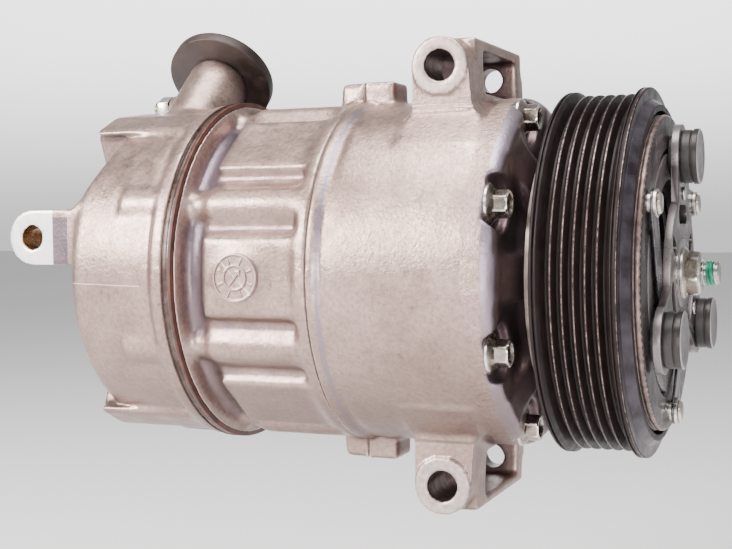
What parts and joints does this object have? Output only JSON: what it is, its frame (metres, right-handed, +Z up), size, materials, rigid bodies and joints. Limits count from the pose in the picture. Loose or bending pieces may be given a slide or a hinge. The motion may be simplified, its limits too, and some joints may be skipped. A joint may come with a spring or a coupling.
{
  "type": "automotive air-conditioning compressor",
  "caption": "Belt-driven swash-plate refrigerant compressor with electromagnetic clutch, ribbed pulley, cast housings, mounting lugs and capped ports.",
  "frame": {"origin": "shaft axis where it crosses the middle plane of the belt grooves", "axes": "+X along the shaft from the rear head towards the clutch, +Z up through the upper mounting lug, -Y is the side with the long mounting bores and the rear tab"},
  "size_m": [0.2455, 0.1441, 0.1734],
  "materials": {
    "cast_housing": "satin, sand-grained casting",
    "gasket": "matt coated steel",
    "spring_steel": "blued",
    "plate_steel": "ground",
    "seal_rubber": "satin",
    "bearing_steel": "polished",
    "zinc_steel": "zinc plated",
    "ground_steel": "ground",
    "machined_iron": "machined",
    "piston_aluminium": "machined, coated skirt",
    "valve_brass": "satin",
    "cap_black": "satin moulded",
    "winding_resin": "potted",
    "terminal_plastic": "moulded",
    "pulley_paint": "black electrocoat, worn on the ribs",
    "armature_steel": "phosphated, worn",
    "hub_steel": "satin plated",
    "damper_rubber": "satin",
    "cap_steel": "satin plated"
  },
  "bodies": {
    "housing": {"front_housing": "cast_housing", "cylinder_block": "cast_housing", "rear_head": "cast_housing", "block_gasket": "gasket", "suction_reeds": "spring_steel", "valve_plate": "plate_steel", "discharge_reeds": "spring_steel", "head_gasket": "gasket", "housing_o_ring": "seal_rubber", "locating_dowels": "bearing_steel", "through_bolts": "zinc_steel", "front_needle_bearing": "bearing_steel", "rear_needle_bearing": "bearing_steel", "front_thrust_bearing": "bearing_steel", "rear_thrust_washer": "bearing_steel", "shaft_lip_seal": "seal_rubber", "seal_retaining_ring": "spring_steel", "control_valve": "valve_brass", "control_valve_o_rings": "seal_rubber", "control_valve_ring": "spring_steel", "relief_valve": "zinc_steel", "suction_port_cap": "cap_black", "discharge_port_cap": "cap_black", "bearing_inner_ring": "bearing_steel", "bearing_snap_ring": "spring_steel", "coil_shell": "plate_steel", "coil_winding": "winding_resin", "coil_snap_ring": "spring_steel", "coil_terminal": "terminal_plastic"},
    "pulley": {"clutch_pulley": "pulley_paint", "bearing_outer_ring": "bearing_steel", "bearing_balls": "bearing_steel", "bearing_seals": "seal_rubber"},
    "shaft": {"drive_shaft": "ground_steel", "lug_plate": "machined_iron", "guide_pins": "bearing_steel", "swash_sleeve": "ground_steel", "return_spring": "spring_steel", "clutch_hub": "hub_steel", "hub_plate": "hub_steel", "hub_rivets": "zinc_steel", "leaf_springs": "spring_steel", "dampers": "damper_rubber", "damper_caps": "cap_steel", "hub_shim": "spring_steel", "hub_nut": "zinc_steel"},
    "armature": {"armature_plate": "armature_steel", "armature_rivets": "zinc_steel"},
    "swash": {"swash_plate": "machined_iron", "piston_shoes": "bearing_steel"},
    "piston_body_1": {"piston_1": "piston_aluminium"},
    "piston_body_2": {"piston_2": "piston_aluminium"},
    "piston_body_3": {"piston_3": "piston_aluminium"},
    "piston_body_4": {"piston_4": "piston_aluminium"},
    "piston_body_5": {"piston_5": "piston_aluminium"},
    "piston_body_6": {"piston_6": "piston_aluminium"},
    "piston_body_7": {"piston_7": "piston_aluminium"}
  },
  "joints": [
    {"name": "pulley_spin", "type": "hinge", "parent": "housing", "child": "pulley", "pos_m": [0, 0, 0], "axis": [1, 0, 0], "continuous": true},
    {"name": "shaft_spin", "type": "hinge", "parent": "housing", "child": "shaft", "pos_m": [0, 0, 0], "axis": [1, 0, 0], "continuous": true},
    {"name": "armature_slide", "type": "slide", "parent": "shaft", "child": "armature", "axis": [1, 0, 0], "range_m": [-0.00045, 0], "stiffness_N_per_m": 20000, "deforming": ["leaf_springs"]},
    {"name": "swash_tilt", "type": "hinge", "parent": "housing", "child": "swash", "pos_m": [-0.06998, 0, 0], "axis": [0, 0, 1], "range_deg": [0, 18], "stiffness_Nm_per_rad": 2},
    {"name": "piston_stroke_1", "type": "slide", "parent": "housing", "child": "piston_body_1", "axis": [1, 0, 0], "range_m": [-0.0001, 0.01169]},
    {"name": "piston_stroke_2", "type": "slide", "parent": "housing", "child": "piston_body_2", "axis": [1, 0, 0], "range_m": [-0.0001, 0.00732]},
    {"name": "piston_stroke_3", "type": "slide", "parent": "housing", "child": "piston_body_3", "axis": [1, 0, 0], "range_m": [-0.00268, 0.0001]},
    {"name": "piston_stroke_4", "type": "slide", "parent": "housing", "child": "piston_body_4", "axis": [1, 0, 0], "range_m": [-0.01054, 0.0001]},
    {"name": "piston_stroke_5", "type": "slide", "parent": "housing", "child": "piston_body_5", "axis": [1, 0, 0], "range_m": [-0.01054, 0.0001]},
    {"name": "piston_stroke_6", "type": "slide", "parent": "housing", "child": "piston_body_6", "axis": [1, 0, 0], "range_m": [-0.00268, 0.0001]},
    {"name": "piston_stroke_7", "type": "slide", "parent": "housing", "child": "piston_body_7", "axis": [1, 0, 0], "range_m": [-0.0001, 0.00732]}
  ],
  "couplings": [
    {"joint": "piston_stroke_1", "follows": "swash_tilt", "m_per_rad": 0.036886},
    {"joint": "piston_stroke_2", "follows": "swash_tilt", "m_per_rad": 0.022998},
    {"joint": "piston_stroke_3", "follows": "swash_tilt", "m_per_rad": -0.0082079},
    {"joint": "piston_stroke_4", "follows": "swash_tilt", "m_per_rad": -0.033233},
    {"joint": "piston_stroke_5", "follows": "swash_tilt", "m_per_rad": -0.033233},
    {"joint": "piston_stroke_6", "follows": "swash_tilt", "m_per_rad": -0.0082079},
    {"joint": "piston_stroke_7", "follows": "swash_tilt", "m_per_rad": 0.022998}
  ]
}
